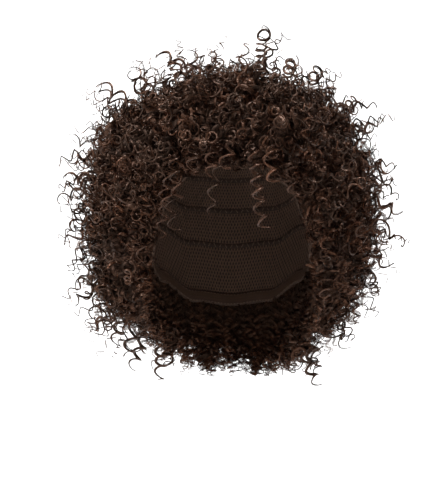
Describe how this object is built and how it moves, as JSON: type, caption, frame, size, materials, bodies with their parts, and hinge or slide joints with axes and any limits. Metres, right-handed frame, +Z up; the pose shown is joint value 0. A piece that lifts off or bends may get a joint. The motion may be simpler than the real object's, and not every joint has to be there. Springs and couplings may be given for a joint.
{
  "type": "afro wig",
  "caption": "Short full wig of tight corkscrew curls on a stretch net cap, with a loose curled fringe and an open head hollow below.",
  "frame": {"origin": "the point inside the top of the cap where the crown of the head touches it", "axes": "+Z up out of the crown of the head, -Y forward out of the face opening, +X towards the wearer's left side"},
  "size_m": [0.3048, 0.28, 0.3067],
  "materials": {
    "net": "matt stretch net",
    "ribbon": "satin ribbon",
    "hair": "glossy curled fibre"
  },
  "bodies": {
    "root": {"cap_net": "net", "edge_ribbon": "ribbon", "weft_1_hairline": "hair", "weft_2": "hair", "weft_3": "hair", "weft_4": "hair", "weft_5": "hair", "weft_6": "hair", "crown_hair": "hair"}
  },
  "joints": []
}
